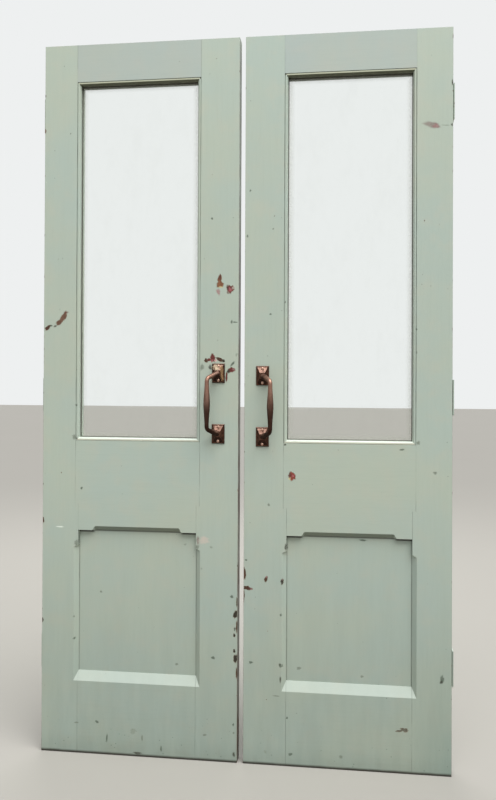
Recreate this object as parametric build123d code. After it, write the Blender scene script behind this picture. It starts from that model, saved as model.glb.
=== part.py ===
from build123d import *
import os
from math import radians, sqrt, tan

# A pair of half-glazed french door leaves in timber: each has a sheet of glass held by
# mitred beads above its lock rail, and one flat panel in stop-chamfered framing below.
# Each leaf hangs on three butt hinges and has a cast cranked pull handle on its front.
#
# The model is in millimetres. X runs across the pair, to the right as seen from the
# front, Y to the back and Z up. The origin is the middle of the pair at its bottom
# edge, half-way through its whole depth, handles and hinge knuckles included.
#
# A leaf is built in its own frame: x from its meeting edge outwards, y from its front
# face backwards and z up from its bottom edge. The right leaf is moved into place, and
# the left one is its mirror image, but for the place of its handle.

# Leaf
leaf_width = 597.0
leaf_height = 2134.0
leaf_thickness = 44.0
meeting_gap = 18.0

# Framing
hinge_stile_width = 111.0
meeting_stile_width = 125.0
top_rail_height = 122.0
lock_rail_top = 948.0
lock_rail_height = 279.0
bottom_rail_height = 244.0

# Joints: panel, grooves, tenons and mortises share one thickness in line
joint_front = 14.0
joint_thickness = 16.0
groove_depth = 11.0
panel_play = 1.5
haunch_length = 15.0
top_tenon_height = 75.0
lock_tenon_height = 80.0
bottom_tenon_height = 70.0
tenon_shoulder = 12.0
bottom_edge_shoulder = 34.0
wedge_length = 70.0
wedge_butt = 6.0
wedge_tip = 1.5

# Glazing, in a rebate cut from the front
rebate_width = 9.5
rebate_depth = 24.0
rebate_run_past_glass = 190.0
glass_thickness = 4.0
glass_play = 1.5
bead_setback = 0.6
bead_flat = 5.6
bead_bevel_drop = 5.0
quirk_width = 1.6
quirk_drop = 3.0

# Stop chamfers and the weathered slope under the panel
chamfer_width = 12.7
stop_from_corner = 41.0
stop_length = 14.0
slope_rise = 28.0

# Butt hinges
hinge_height = 102.0
hinge_flap_thickness = 3.0
hinge_flap_reach = 32.0
hinge_joint_gap = 3.0
knuckle_radius = 6.0
knuckle_count = 5
knuckle_play = 0.3
knuckle_stand_off = 0.5
hinge_pin_radius = 3.0
hinge_pin_play = 0.05
hinge_pin_head_radius = 4.6
hinge_pin_head_height = 3.4
hinge_recess_play = 0.2
top_hinge_drop = 207.0
middle_hinge_height = 1075.0
bottom_hinge_height = 300.0
outer_screw_spacing = 76.0
inner_screw_spacing = 28.0
outer_screw_from_face = 10.0
inner_screw_from_face = 21.0

# Screws
hinge_screw_length = 28.0
hinge_screw_radius = 2.1
hinge_screw_head_radius = 4.2
handle_screw_length = 19.0
handle_screw_radius = 1.9
handle_screw_head_radius = 3.9
handle_screw_dome = 1.1
metal_hole_play = 0.3
timber_hole_play = 0.05
screw_slot_width = 1.0
screw_slot_depth = 0.9

# Pull handles
handle_plate_width = 38.0
handle_plate_height = 57.0
handle_plate_thickness = 4.0
handle_plate_bevel = 1.6
handle_plate_spacing = 179.0
handle_foot_margin = 2.6
handle_foot_rise = 9.0
handle_foot_top_width = 15.0
handle_foot_top_height = 17.0
handle_screw_offset = 21.0
handle_screw_rim_rise = 2.4
handle_crank = 27.0
handle_arm_drop = 15.0
handle_grip_stand_off = 45.0
handle_arm_root_radius = 9.5
handle_arm_radius = 6.2
handle_arm_bend = 14.0
handle_grip_radius = 9.6
right_handle_from_edge = 53.5
right_handle_height = 1046.0
left_handle_from_edge = 59.5
left_handle_height = 1053.0

# Worked out from the sizes above
rail_start = meeting_stile_width
rail_end = leaf_width - hinge_stile_width
rail_length = rail_end - rail_start
lock_rail_bottom = lock_rail_top - lock_rail_height
top_rail_bottom = leaf_height - top_rail_height
rebate_stop_height = lock_rail_top - rebate_width - rebate_run_past_glass
slope_bottom = bottom_rail_height - slope_rise
hinge_axis_x = leaf_width + hinge_joint_gap / 2
hinge_axis_y = leaf_thickness + knuckle_stand_off + knuckle_radius
handle_reach = handle_grip_stand_off + handle_grip_radius
handle_screw_rim = handle_plate_thickness + handle_screw_rim_rise
whole_depth = handle_reach + hinge_axis_y + knuckle_radius
front_face_y = handle_reach - whole_depth / 2
hinge_heights = {
    "top": leaf_height - top_hinge_drop,
    "middle": middle_hinge_height,
    "bottom": bottom_hinge_height,
}


def block(x0, x1, y0, y1, z0, z1):
    """A box between two corners."""
    return Pos((x0 + x1) / 2, (y0 + y1) / 2, (z0 + z1) / 2) * Box(x1 - x0, y1 - y0, z1 - z0)


def in_joint_plane(x0, x1, z0, z1):
    """A block as thick as the tenons, where they lie in the leaf's thickness."""
    return block(x0, x1, joint_front, joint_front + joint_thickness, z0, z1)


def rail_tenons(rail):
    """The bottom and top heights of a rail's tenons, and of the haunches beside them."""
    if rail == "top":
        low = top_rail_bottom + tenon_shoulder
        high = low + top_tenon_height
        return [(low, high)], [(high, leaf_height)]
    if rail == "lock":
        low = lock_rail_bottom + tenon_shoulder
        high = lock_rail_top - tenon_shoulder
        tenon = lock_tenon_height
    else:
        low = bottom_edge_shoulder
        high = bottom_rail_height - tenon_shoulder
        tenon = bottom_tenon_height
    tenons = [(low, low + tenon), (high - tenon, high)]
    return tenons, [(low + tenon, high - tenon)]


def wedge(outer_x, z, direction):
    """One wedge along a tenon's edge at height z, its butt at the stile's outer edge."""
    outline = Polyline(
        (outer_x, z),
        (outer_x, z + direction * wedge_butt),
        (outer_x - wedge_length, z + direction * wedge_tip),
        (outer_x - wedge_length, z),
        close=True,
    )
    face = make_face(Plane.XZ * outline)
    return Pos(0, joint_front + joint_thickness / 2, 0) * extrude(face, joint_thickness / 2, both=True)


def stile_wedges(width):
    """All wedges of one stile, in the stile's frame."""
    wedges = []
    for rail in ("top", "lock", "bottom"):
        for low, high in rail_tenons(rail)[0]:
            wedges.append(wedge(width, high, 1))
            wedges.append(wedge(width, low, -1))
    return wedges


def ogee_chamfer_outline(start, end, stop_at_start):
    """The side outline of a chamfer cut: along the arris, and in by its depth at 45 degrees.

    The cut runs out at its end, and at its start too if asked, in an ogee stop.
    """
    depth = chamfer_width / sqrt(2)
    clear = 2 * chamfer_width
    edges = []
    if stop_at_start:
        edges.append(Spline((start, 0), (start + stop_length, -depth), tangents=[(1, 0), (1, 0)]))
        edges.append(Line((start + stop_length, -depth), (end - stop_length, -depth)))
        edges.append(Line((start, clear), (start, 0)))
    else:
        edges.append(Line((start, -depth), (end - stop_length, -depth)))
        edges.append(Line((start, clear), (start, -depth)))
    edges.append(Spline((end - stop_length, -depth), (end, 0), tangents=[(1, 0), (1, 0)]))
    edges.append(Line((end, 0), (end, clear)))
    edges.append(Line((end, clear), (start, clear)))
    return edges


def above_slope(length):
    """The space above the plane of the bottom rail's weathered slope."""
    clear = 2 * chamfer_width
    fall = clear * slope_rise / chamfer_width
    outline = Polyline(
        (-clear, slope_bottom - fall),
        (clear, slope_bottom + fall),
        (clear, leaf_height),
        (-clear, leaf_height),
        close=True,
    )
    return extrude(make_face(Plane.YZ * outline), length, both=True)


def stile_chamfer():
    """The cut for a stile's chamfer: stopped at its top, mitred to the slope at its foot."""
    side = Plane(origin=(0, 0, 0), x_dir=(0, 0, 1), z_dir=(1, -1, 0))
    outline = ogee_chamfer_outline(slope_bottom, lock_rail_bottom - stop_from_corner, False)
    cut = extrude(make_face(side * Curve(children=outline)), 2 * chamfer_width, both=True)
    return cut & above_slope(2 * chamfer_width)


def rail_chamfer():
    """The cut for the chamfer along the lock rail's lower arris, stopped at both ends."""
    side = Plane(origin=(0, 0, lock_rail_bottom), x_dir=(1, 0, 0), z_dir=(0, 1, -1))
    outline = ogee_chamfer_outline(rail_start + stop_from_corner, rail_end - stop_from_corner, True)
    return extrude(make_face(side * Curve(children=outline)), 2 * chamfer_width, both=True)


def stile(width):
    """A stile in its own frame: x from its inner edge to its outer edge, y and z as the leaf."""
    body = block(0, width, 0, leaf_thickness, 0, leaf_height)
    body -= block(0, rebate_width, 0, rebate_depth, rebate_stop_height, leaf_height)
    body -= in_joint_plane(
        0, groove_depth, bottom_rail_height - groove_depth, lock_rail_bottom + groove_depth
    )
    for rail in ("top", "lock", "bottom"):
        tenons, haunches = rail_tenons(rail)
        for low, high in tenons:
            body -= in_joint_plane(0, width, low, high)
        for low, high in haunches:
            body -= in_joint_plane(0, haunch_length, low, high)
    for piece in stile_wedges(width):
        body -= piece
    return body - stile_chamfer()


def to_meeting_side(piece):
    """From a stile's frame to its place as the leaf's meeting stile."""
    return Pos(rail_start, 0, 0) * mirror(piece, about=Plane.YZ)


def to_hinge_side(piece):
    """From a stile's frame to its place as the leaf's hinge stile."""
    return Pos(rail_end, 0, 0) * piece


def add_tenons(body, rail):
    """A rail with its tenons right through both stiles, and its haunches."""
    tenons, haunches = rail_tenons(rail)
    for low, high in tenons:
        body += in_joint_plane(0, leaf_width, low, high)
    for low, high in haunches:
        body += in_joint_plane(rail_start - haunch_length, rail_end + haunch_length, low, high)
    return body


def top_rail():
    """The top rail, with long shoulders at the front where they cover the stiles' rebates."""
    front_bottom = top_rail_bottom + rebate_width
    body = block(rail_start, rail_end, rebate_depth, leaf_thickness, top_rail_bottom, leaf_height)
    body += block(
        rail_start - rebate_width, rail_end + rebate_width, 0, rebate_depth, front_bottom, leaf_height
    )
    return add_tenons(body, "top")


def lock_rail():
    """The lock rail: rebated for the glass above, grooved and chamfered for the panel below."""
    front_top = lock_rail_top - rebate_width
    body = block(rail_start, rail_end, rebate_depth, leaf_thickness, lock_rail_bottom, lock_rail_top)
    body += block(rail_start, rail_end, 0, rebate_depth, lock_rail_bottom, rebate_stop_height)
    body += block(
        rail_start - rebate_width,
        rail_end + rebate_width,
        0,
        rebate_depth,
        rebate_stop_height,
        front_top,
    )
    body -= in_joint_plane(rail_start, rail_end, lock_rail_bottom, lock_rail_bottom + groove_depth)
    body -= rail_chamfer()
    return add_tenons(body, "lock")


def bottom_rail():
    """The bottom rail, with the weathered slope along its upper front edge."""
    body = block(rail_start, rail_end, 0, leaf_thickness, 0, bottom_rail_height)
    body -= in_joint_plane(rail_start, rail_end, bottom_rail_height - groove_depth, bottom_rail_height)
    body -= Pos((rail_start + rail_end) / 2, 0, 0) * above_slope(rail_length / 2)
    return add_tenons(body, "bottom")


def panel():
    """The flat panel, loose in its grooves."""
    spread = groove_depth - panel_play
    return in_joint_plane(
        rail_start - spread,
        rail_end + spread,
        bottom_rail_height - spread,
        lock_rail_bottom + spread,
    )


def glass():
    """The sheet of glass against the back of its rebate."""
    spread = rebate_width - glass_play
    return block(
        rail_start - spread,
        rail_end + spread,
        rebate_depth - glass_thickness,
        rebate_depth,
        lock_rail_top - spread,
        top_rail_bottom + spread,
    )


def bead(length):
    """A glazing bead along X, its back on z = 0, with both ends mitred."""
    back = rebate_depth - glass_thickness
    section = Polyline(
        (back, 0),
        (bead_setback + quirk_drop, 0),
        (bead_setback, quirk_width),
        (bead_setback, bead_flat),
        (bead_setback + bead_bevel_drop, rebate_width),
        (back, rebate_width),
        close=True,
    )
    bar = extrude(make_face(Plane.YZ * section), length / 2, both=True)
    mitre = Polyline(
        (-length / 2, 0),
        (length / 2, 0),
        (length / 2 - rebate_width, rebate_width),
        (-length / 2 + rebate_width, rebate_width),
        close=True,
    )
    return bar & extrude(make_face(Plane.XZ * mitre), rebate_depth, both=True)


def beads():
    """The four beads round the glass, by the side that they lie on."""
    wide = rail_length + 2 * rebate_width
    tall = top_rail_bottom - lock_rail_top + 2 * rebate_width
    middle_x = (rail_start + rail_end) / 2
    middle_z = (lock_rail_top + top_rail_bottom) / 2
    return {
        "bottom_bead": Pos(middle_x, 0, middle_z - tall / 2) * bead(wide),
        "top_bead": Pos(middle_x, 0, middle_z + tall / 2) * Rot(0, 180, 0) * bead(wide),
        "meeting_side_bead": Pos(middle_x - wide / 2, 0, middle_z) * Rot(0, 90, 0) * bead(tall),
        "hinge_side_bead": Pos(middle_x + wide / 2, 0, middle_z) * Rot(0, -90, 0) * bead(tall),
    }


def standing(z, piece):
    """A cylinder or cone moved so that it rises from that height."""
    return Pos(0, 0, z + piece.bounding_box().size.Z / 2) * piece


def screw(radius, head_radius, length, dome=0.0):
    """A slotted countersunk wood screw, flat or domed: its head's rim at z = 0, driven towards -Z."""
    head_depth = head_radius - radius
    point_length = 2 * radius
    body = standing(-head_depth, Cone(radius, head_radius, head_depth))
    body += standing(point_length - length, Cylinder(radius, length - head_depth - point_length))
    body += standing(-length, Cone(0, radius, point_length))
    if dome:
        ball_radius = (head_radius**2 + dome**2) / (2 * dome)
        ball = Pos(0, 0, dome - ball_radius) * Sphere(ball_radius)
        reach = 2 * head_radius
        body += ball & block(-reach, reach, -reach, reach, 0, reach)
    return body - Pos(0, 0, dome) * Box(3 * head_radius, screw_slot_width, 2 * (screw_slot_depth + dome))


def screw_hole(radius, head_radius, length, play):
    """The hole for that screw, wider than the screw all round by that play."""
    sink_depth = head_radius - radius
    clear = head_radius
    bore = standing(-length - play, Cylinder(radius + play, length + play + clear))
    sink = Cone(radius + play, head_radius + play + clear, sink_depth + clear)
    return bore + standing(-sink_depth, sink)


def hinge_screw_hole(play):
    """The hole for one of the hinges' screws."""
    return screw_hole(hinge_screw_radius, hinge_screw_head_radius, hinge_screw_length, play)


def handle_screw_hole(play):
    """The hole for one of the pull handles' screws."""
    return screw_hole(handle_screw_radius, handle_screw_head_radius, handle_screw_length, play)


def hinge_screw_places():
    """Where a flap's screws are: distance forward of the leaf's back face, and height."""
    outer = outer_screw_spacing / 2
    inner = inner_screw_spacing / 2
    return [
        (outer_screw_from_face, -outer),
        (outer_screw_from_face, outer),
        (inner_screw_from_face, -inner),
        (inner_screw_from_face, inner),
    ]


def hinge_flap(own_knuckles):
    """A hinge flap about the pin's axis, on its +X side, with the knuckles it is rolled into.

    Its face with the countersunk holes looks towards -X, at half the joint's gap.
    """
    inner_x = hinge_joint_gap / 2
    front = -(hinge_axis_y - leaf_thickness + hinge_flap_reach)
    half = hinge_height / 2
    step = hinge_height / knuckle_count
    body = block(inner_x, inner_x + hinge_flap_thickness, front, 0, -half, half)
    for index in range(knuckle_count):
        middle = -half + step * (index + 0.5)
        if index in own_knuckles:
            trim = knuckle_play / 2
            body += Pos(0, 0, middle) * Cylinder(knuckle_radius, step - 2 * trim)
        else:
            reach = knuckle_radius + knuckle_play
            body -= block(0, reach, -reach, reach, middle - step / 2, middle + step / 2)
    body -= Cylinder(hinge_pin_radius + hinge_pin_play, 2 * hinge_height)
    body &= block(-leaf_thickness, leaf_thickness, front, leaf_thickness, -half, half)
    hole = hinge_screw_hole(metal_hole_play)
    for from_face, height in hinge_screw_places():
        place = (inner_x, leaf_thickness - hinge_axis_y - from_face, height)
        body -= Pos(*place) * Rot(0, -90, 0) * hole
    return body


def hinge_pin():
    """The pin through the knuckles, with a rounded head on top."""
    shank = Cylinder(hinge_pin_radius, hinge_height)
    head = Cylinder(hinge_pin_head_radius, hinge_pin_head_height)
    head = fillet(head.edges().sort_by(Axis.Z)[-1], 0.6 * hinge_pin_head_height)
    return shank + Pos(0, 0, (hinge_height + hinge_pin_head_height) / 2) * head


def hinge_recess():
    """The recess for one flap in the hinge stile's outer edge, about the pin's axis."""
    edge = -hinge_joint_gap / 2
    rear = leaf_thickness - hinge_axis_y
    half = hinge_height / 2 + hinge_recess_play
    front = rear - hinge_flap_reach - hinge_recess_play
    cut = block(edge - hinge_flap_thickness, edge + leaf_thickness, front, leaf_thickness, -half, half)
    hole = hinge_screw_hole(timber_hole_play)
    for from_face, height in hinge_screw_places():
        cut += Pos(edge, rear - from_face, height) * Rot(0, 90, 0) * hole
    return cut


def hinge_screws():
    """The screws of one flap in the hinge stile, about the pin's axis."""
    pieces = []
    one = screw(hinge_screw_radius, hinge_screw_head_radius, hinge_screw_length)
    for from_face, height in hinge_screw_places():
        place = (-hinge_joint_gap / 2, leaf_thickness - hinge_axis_y - from_face, height)
        pieces.append(Pos(*place) * Rot(0, 90, 0) * one)
    return pieces


def handle_arm_line():
    """The upper arm's root, corner and direction, and the arm's and grip's share of its bend."""
    root = Vector(0, -handle_plate_thickness, 0)
    corner = Vector(handle_crank, -handle_grip_stand_off, -handle_arm_drop)
    ahead = (corner - root).normalized()
    turn = 180 - ahead.get_angle(Vector(0, 0, 1))
    return root, corner, ahead, turn, handle_arm_bend * tan(radians(turn / 2))


def handle_foot():
    """A plate and the four-sided foot that rises from it to the arm's root."""
    plate = Pos(0, -handle_plate_thickness / 2, 0) * Box(
        handle_plate_width, handle_plate_thickness, handle_plate_height
    )
    front_edges = plate.faces().sort_by(Axis.Y)[0].edges()
    plate = chamfer(front_edges, handle_plate_bevel)
    margin = handle_plate_bevel + handle_foot_margin
    bottom = Plane.XZ.offset(handle_plate_thickness) * Rectangle(
        handle_plate_width - 2 * margin, handle_plate_height - 2 * margin
    )
    top = Plane.XZ.offset(handle_plate_thickness + handle_foot_rise) * Rectangle(
        handle_foot_top_width, handle_foot_top_height
    )
    return plate + loft([bottom, top])


def handle_end():
    """The handle's upper end, about its plate's centre on the stile's front face."""
    root, corner, ahead, turn, bend_run = handle_arm_line()
    bend_start = corner - ahead * bend_run
    arm = Plane(origin=root, z_dir=ahead) * Cone(
        handle_arm_root_radius,
        handle_arm_radius,
        (bend_start - root).length,
        align=(Align.CENTER, Align.CENTER, Align.MIN),
    )
    across = ahead.cross(Vector(0, 0, -1)).normalized()
    bend_axis = Axis(bend_start + across.cross(ahead) * handle_arm_bend, across)
    bend = revolve(Plane(origin=bend_start, z_dir=ahead) * Circle(handle_arm_radius), bend_axis, turn)
    seat = 4 * handle_grip_stand_off
    body = (handle_foot() + arm) & block(-seat, seat, -seat, 0, -seat, seat)
    body += bend
    hole = handle_screw_hole(metal_hole_play)
    for side in (-1, 1):
        place = (0, -handle_screw_rim, side * handle_screw_offset)
        body -= Pos(*place) * Rot(90, 0, 0) * hole
    return body


def pull_handle():
    """The cast handle about its middle: two plates with four-sided feet, cranked arms and a grip."""
    end_height = handle_plate_spacing / 2
    grip_half = end_height - handle_arm_drop - handle_arm_line()[-1]
    swell = [
        Line((0, -grip_half), (handle_arm_radius, -grip_half)),
        Spline(
            (handle_arm_radius, -grip_half),
            (handle_grip_radius, 0),
            (handle_arm_radius, grip_half),
            tangents=[(0, 1), (0, 1)],
        ),
        Line((handle_arm_radius, grip_half), (0, grip_half)),
        Line((0, grip_half), (0, -grip_half)),
    ]
    grip = revolve(make_face(Plane.XZ * Curve(children=swell)), Axis.Z)
    upper = Pos(0, 0, end_height) * handle_end()
    lower = mirror(upper, about=Plane.XY)
    return upper + lower + Pos(handle_crank, -handle_grip_stand_off, 0) * grip


def handle_screw_places():
    """Where the handle's screws are, by height from its middle."""
    half = handle_plate_spacing / 2
    return [end * half + side * handle_screw_offset for end in (-1, 1) for side in (-1, 1)]


def leaf_pieces(handle_from_edge, handle_height):
    """Every piece of one leaf with its hinges, in the leaf's frame: node name to solids."""
    hinge_stile = to_hinge_side(stile(hinge_stile_width))
    meeting_stile = to_meeting_side(stile(meeting_stile_width))
    nodes = {
        "top_rail": [top_rail()],
        "lock_rail": [lock_rail()],
        "bottom_rail": [bottom_rail()],
        "panel": [panel()],
        "glass": [glass()],
    }
    for name, piece in beads().items():
        nodes[name] = [piece]
    nodes["tenon_wedges"] = [to_hinge_side(piece) for piece in stile_wedges(hinge_stile_width)]
    nodes["tenon_wedges"] += [to_meeting_side(piece) for piece in stile_wedges(meeting_stile_width)]

    handle_place = Pos(handle_from_edge, 0, handle_height)
    nodes["pull_handle"] = [handle_place * pull_handle()]
    one = screw(handle_screw_radius, handle_screw_head_radius, handle_screw_length, handle_screw_dome)
    hole = handle_screw_hole(timber_hole_play)
    nodes["handle_screws"] = []
    for height in handle_screw_places():
        place = handle_place * Pos(0, -handle_screw_rim, height) * Rot(90, 0, 0)
        nodes["handle_screws"].append(place * one)
        meeting_stile -= place * hole

    nodes["hinge_screws"] = []
    outer_knuckles = range(0, knuckle_count, 2)
    inner_knuckles = range(1, knuckle_count, 2)
    for name, height in hinge_heights.items():
        axis_place = Pos(hinge_axis_x, hinge_axis_y, height)
        hinge_stile -= axis_place * hinge_recess()
        leaf_flap = mirror(hinge_flap(inner_knuckles), about=Plane.YZ)
        nodes[name + "_hinge_leaf_flap"] = [axis_place * leaf_flap]
        nodes[name + "_hinge_frame_flap"] = [axis_place * hinge_flap(outer_knuckles)]
        nodes[name + "_hinge_pin"] = [axis_place * hinge_pin()]
        nodes["hinge_screws"] += [axis_place * piece for piece in hinge_screws()]
    nodes["hinge_stile"] = [hinge_stile]
    nodes["meeting_stile"] = [meeting_stile]
    return nodes


def write_leaf(side, nodes):
    """Each node of a leaf, moved to its place in the pair, as its own file."""
    place = Pos(meeting_gap / 2, front_face_y, 0)
    for name, pieces in nodes.items():
        solids = []
        for piece in pieces:
            for solid in (place * piece).solids():
                solids.append(mirror(solid, about=Plane.YZ) if side == "left" else solid)
        shape = solids[0] if len(solids) == 1 else Compound(children=solids)
        export_step(shape, f"parts/{side}_{name}.step")


os.makedirs("parts", exist_ok=True)
write_leaf("right", leaf_pieces(right_handle_from_edge, right_handle_height))
write_leaf("left", leaf_pieces(left_handle_from_edge, left_handle_height))
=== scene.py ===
import math
import random

import bmesh
import bpy
from mathutils import Euler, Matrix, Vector
from mathutils.bvhtree import BVHTree


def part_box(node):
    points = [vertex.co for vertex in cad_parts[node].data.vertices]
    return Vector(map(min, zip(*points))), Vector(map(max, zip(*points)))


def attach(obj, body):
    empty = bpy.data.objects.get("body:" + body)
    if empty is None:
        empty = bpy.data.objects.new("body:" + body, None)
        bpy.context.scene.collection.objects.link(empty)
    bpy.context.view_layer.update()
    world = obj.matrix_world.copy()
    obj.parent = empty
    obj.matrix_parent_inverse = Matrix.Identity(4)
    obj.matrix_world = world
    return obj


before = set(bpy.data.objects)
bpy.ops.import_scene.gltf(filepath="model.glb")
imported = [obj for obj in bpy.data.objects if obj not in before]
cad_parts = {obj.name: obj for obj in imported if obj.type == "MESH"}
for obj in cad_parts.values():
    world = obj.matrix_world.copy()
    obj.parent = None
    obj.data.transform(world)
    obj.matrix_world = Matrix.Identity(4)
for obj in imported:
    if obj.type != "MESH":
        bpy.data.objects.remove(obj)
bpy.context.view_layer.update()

MM = 0.001

# Places on a leaf, in metres. x is measured from the middle between the leaves, z from the floor.
meeting_edge = 0.009
hinge_edge = 0.606
leaf_top = 2.134
upper_shoulders = (0.1245, 0.5045)
lower_shoulders = (0.134, 0.495)
shoulder_change = 0.7485
sight_sides = (0.134, 0.495)
sight_ends = (0.948, 2.012)
panel_top = 0.669
glass_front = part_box("left_glass")[0][1]
grip_middle = sum(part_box(side + "_pull_handle")[end][2] for side in ("left", "right") for end in (0, 1)) / 4

# The paint darkens near the leaf's foot: each of these is thickest up to the first height above the foot, and
# gone at the second, in metres.
dark_foot_band = (0.0045, 0.0125)
mud_heights = (0.0, 0.17)
splash_heights = (0.0, 0.07)
darker_low_heights = (-0.25, 0.95)
darker_corner_heights = (0.05, 0.4)
# The leaf's edge faces are darkest and brownest up to the first height, least at the second.
edge_darkening_heights = (1.25, 1.75)
# The right leaf's lower outer corner grows darker and blue-green from the first x, fully at the second.
darker_corner_widths = (0.46, 0.60)

# Painted shade and dirt on the panel: how far below the rail, and how far from the stiles, it is thickest and
# gone.
under_rail = (0.001, 0.006)
under_corner = (0.0055, 0.0095)
corner_widths = (0.04, 0.052)
beside_stile = (0.0005, 0.004)

# Dirt on the glass, and a dark line of putty and painted shade along the beads, by distance from the beads.
glass_dirt = (0.0, 0.022)
putty_and_shade_line = (0.0012, 0.0036)
# Painted shade and dirt on the beads, by distance in front of the glass: where it begins, and where it is
# thickest.
bead_shade_and_dirt = (0.008, 0.002)

# The dark line at the joint of a rail and a stile, and the paint beside it that isn't worn.
joint_line = (0.0003, 0.0011)
kept_by_joint = (0.001, 0.004)

# Depths on a handle, as y: from the grip's front to the plate's face, from the arms to the whole grip,
# and the foot of the plate, dark with grime and painted shade.
handle_depths = (-0.0535, -0.004)
grip_depths = (-0.024, -0.034)
plate_foot = (-0.0044, -0.0026)
# The painted shade on a grip's lower part and the painted highlight on its upper part, as heights from its
# middle upwards.
grip_shade_heights = (-0.085, 0.05)
grip_highlight_heights = (-0.01, 0.06)

# How near to the leaf's edge face a point counts as on it.
edge_slack = 0.0006


def rgb(red, green, blue):
    """A colour given as sRGB numbers from 0 to 255, as the linear colour that shaders use."""
    linear = []
    for part in (red, green, blue):
        share = part / 255
        linear.append(share / 12.92 if share <= 0.04045 else ((share + 0.055) / 1.055) ** 2.4)
    return (*linear, 1.0)


def make(tree, kind, sockets, output=0, **settings):
    """Adds one shader node, sets or links its sockets, and returns one of its outputs."""
    node = tree.nodes.new("ShaderNode" + kind)
    for key, value in settings.items():
        setattr(node, key, value)
    for key, value in sockets.items():
        if isinstance(value, bpy.types.NodeSocket):
            tree.links.new(value, node.inputs[key])
        else:
            node.inputs[key].default_value = value
    return node.outputs[output]


def calc(tree, operation, first, second=0.0):
    return make(tree, "Math", {0: first, 1: second}, operation=operation)


def times(tree, *values):
    product = values[0]
    for value in values[1:]:
        product = calc(tree, "MULTIPLY", product, value)
    return product


def span(tree, value, low, high, at_low=0.0, at_high=1.0):
    """Maps a value from low..high to at_low..at_high, smoothly and never beyond."""
    sockets = {0: value, 1: low, 2: high, 3: at_low, 4: at_high}
    return make(tree, "MapRange", sockets, interpolation_type="SMOOTHSTEP")


def blend_colours(tree, share, first, second):
    return make(tree, "Mix", {0: share, 6: first, 7: second}, output=2, data_type="RGBA")


def object_place(tree):
    return make(tree, "TexCoord", {}, output="Object")


def noise(tree, place, scale, detail=3.0, roughness=0.5, stretch=(1, 1, 1), shift=0.0):
    """Noise with about scale features a metre, drawn out along an axis where stretch is small."""
    moved = make(tree, "Mapping", {"Vector": place, "Scale": stretch, "Location": (shift, shift, shift)})
    sockets = {"Vector": moved, "Scale": scale, "Detail": detail, "Roughness": roughness}
    return make(tree, "TexNoise", sockets, output=0)


def specks(tree, place, scale, share, radius):
    """Round specks, one in some of the cells of a random grid, of up to that radius in cells."""
    spot = tree.nodes.new("ShaderNodeTexVoronoi")
    spot.inputs["Scale"].default_value = scale
    tree.links.new(place, spot.inputs["Vector"])
    colour = make(tree, "SeparateColor", {0: spot.outputs["Color"]})
    parts = colour.node.outputs
    chosen = calc(tree, "GREATER_THAN", parts[0], 1 - share)
    size = span(tree, parts[1], 0, 1, radius * 0.35, radius)
    near = calc(tree, "LESS_THAN", spot.outputs["Distance"], size)
    return times(tree, chosen, near)


def bump(tree, height, depth, normal=None):
    sockets = {"Height": height, "Distance": depth, "Strength": 1.0}
    if normal is not None:
        sockets["Normal"] = normal
    return make(tree, "Bump", sockets)


def surface(material_name, colour, roughness, normal, **constants):
    """Closes a material with its main shader. The constants are the shader's own sockets."""
    tree = bpy.data.materials[material_name].node_tree
    shader = tree.nodes.new("ShaderNodeBsdfPrincipled")
    for key, value in (("Base Color", colour), ("Roughness", roughness), ("Normal", normal)):
        if isinstance(value, bpy.types.NodeSocket):
            tree.links.new(value, shader.inputs[key])
        elif value is not None:
            shader.inputs[key].default_value = value
    for key, value in constants.items():
        socket = shader.inputs[key.replace("_", " ")]
        if isinstance(value, bpy.types.NodeSocket):
            tree.links.new(value, socket)
        else:
            socket.default_value = value
    output = tree.nodes.new("ShaderNodeOutputMaterial")
    tree.links.new(shader.outputs[0], output.inputs[0])
    return shader


def new_tree(name):
    material = bpy.data.materials.new(name)
    material.use_nodes = True
    material.node_tree.nodes.clear()
    return material, material.node_tree


sage = rgb(180, 190, 174)
sage_cool = rgb(175, 189, 178)
sage_warm = rgb(187, 189, 172)
sage_deep = rgb(162, 175, 160)
chalked_and_lit = rgb(206, 216, 206)
rust_brown = rgb(104, 66, 46)
dull_steel = rgb(92, 92, 88)
cream_undercoat = rgb(205, 196, 176)
red_primer = rgb(152, 84, 66)
grime = rgb(92, 106, 96)
# Dark grime, and the painted shade of recesses.
dark_grime_and_shade = rgb(44, 40, 32)
olive_tan = rgb(186, 184, 150)
olive_shadow = rgb(57, 61, 37)
cream = rgb(236, 228, 206)
grey_weathered = rgb(160, 165, 174)
corner_blue_green = rgb(80, 128, 128)
edge_brown = rgb(98, 76, 60)

bronze_dark = rgb(64, 41, 31)
bronze_brown = rgb(98, 66, 51)
bronze_skin = rgb(48, 32, 25)
bronze_painted_shade = rgb(42, 27, 21)
bronze_rub_and_highlight = rgb(140, 111, 98)
screw_painted_highlight = rgb(206, 168, 148)
grip_painted_shade = rgb(50, 29, 21)
grip_painted_highlight = rgb(186, 142, 122)
stile_grime_and_shade = rgb(34, 30, 22)
pit_dark = rgb(30, 22, 20)
clear_glass = rgb(250, 252, 250)
glass_shadow = rgb(240, 245, 240)
glass_dust = rgb(176, 178, 166)
putty_and_shade = rgb(62, 58, 48)

grain_stretch = {"upright": (1, 1, 0.035), "level": (0.035, 1, 1)}


def distance_from(tree, value, centre):
    return calc(tree, "ABSOLUTE", calc(tree, "SUBTRACT", value, centre))


def shoulder_distance(tree, width, height):
    """How far a point is, across the leaf, from the joint between a rail and a stile."""
    above = calc(tree, "GREATER_THAN", height, shoulder_change)
    below = calc(tree, "SUBTRACT", 1, above)
    nearest = None
    for places, other_part in ((upper_shoulders, below), (lower_shoulders, above)):
        for x in places:
            away = calc(tree, "ADD", distance_from(tree, width, x), other_part)
            nearest = away if nearest is None else calc(tree, "MINIMUM", nearest, away)
    return nearest


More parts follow.
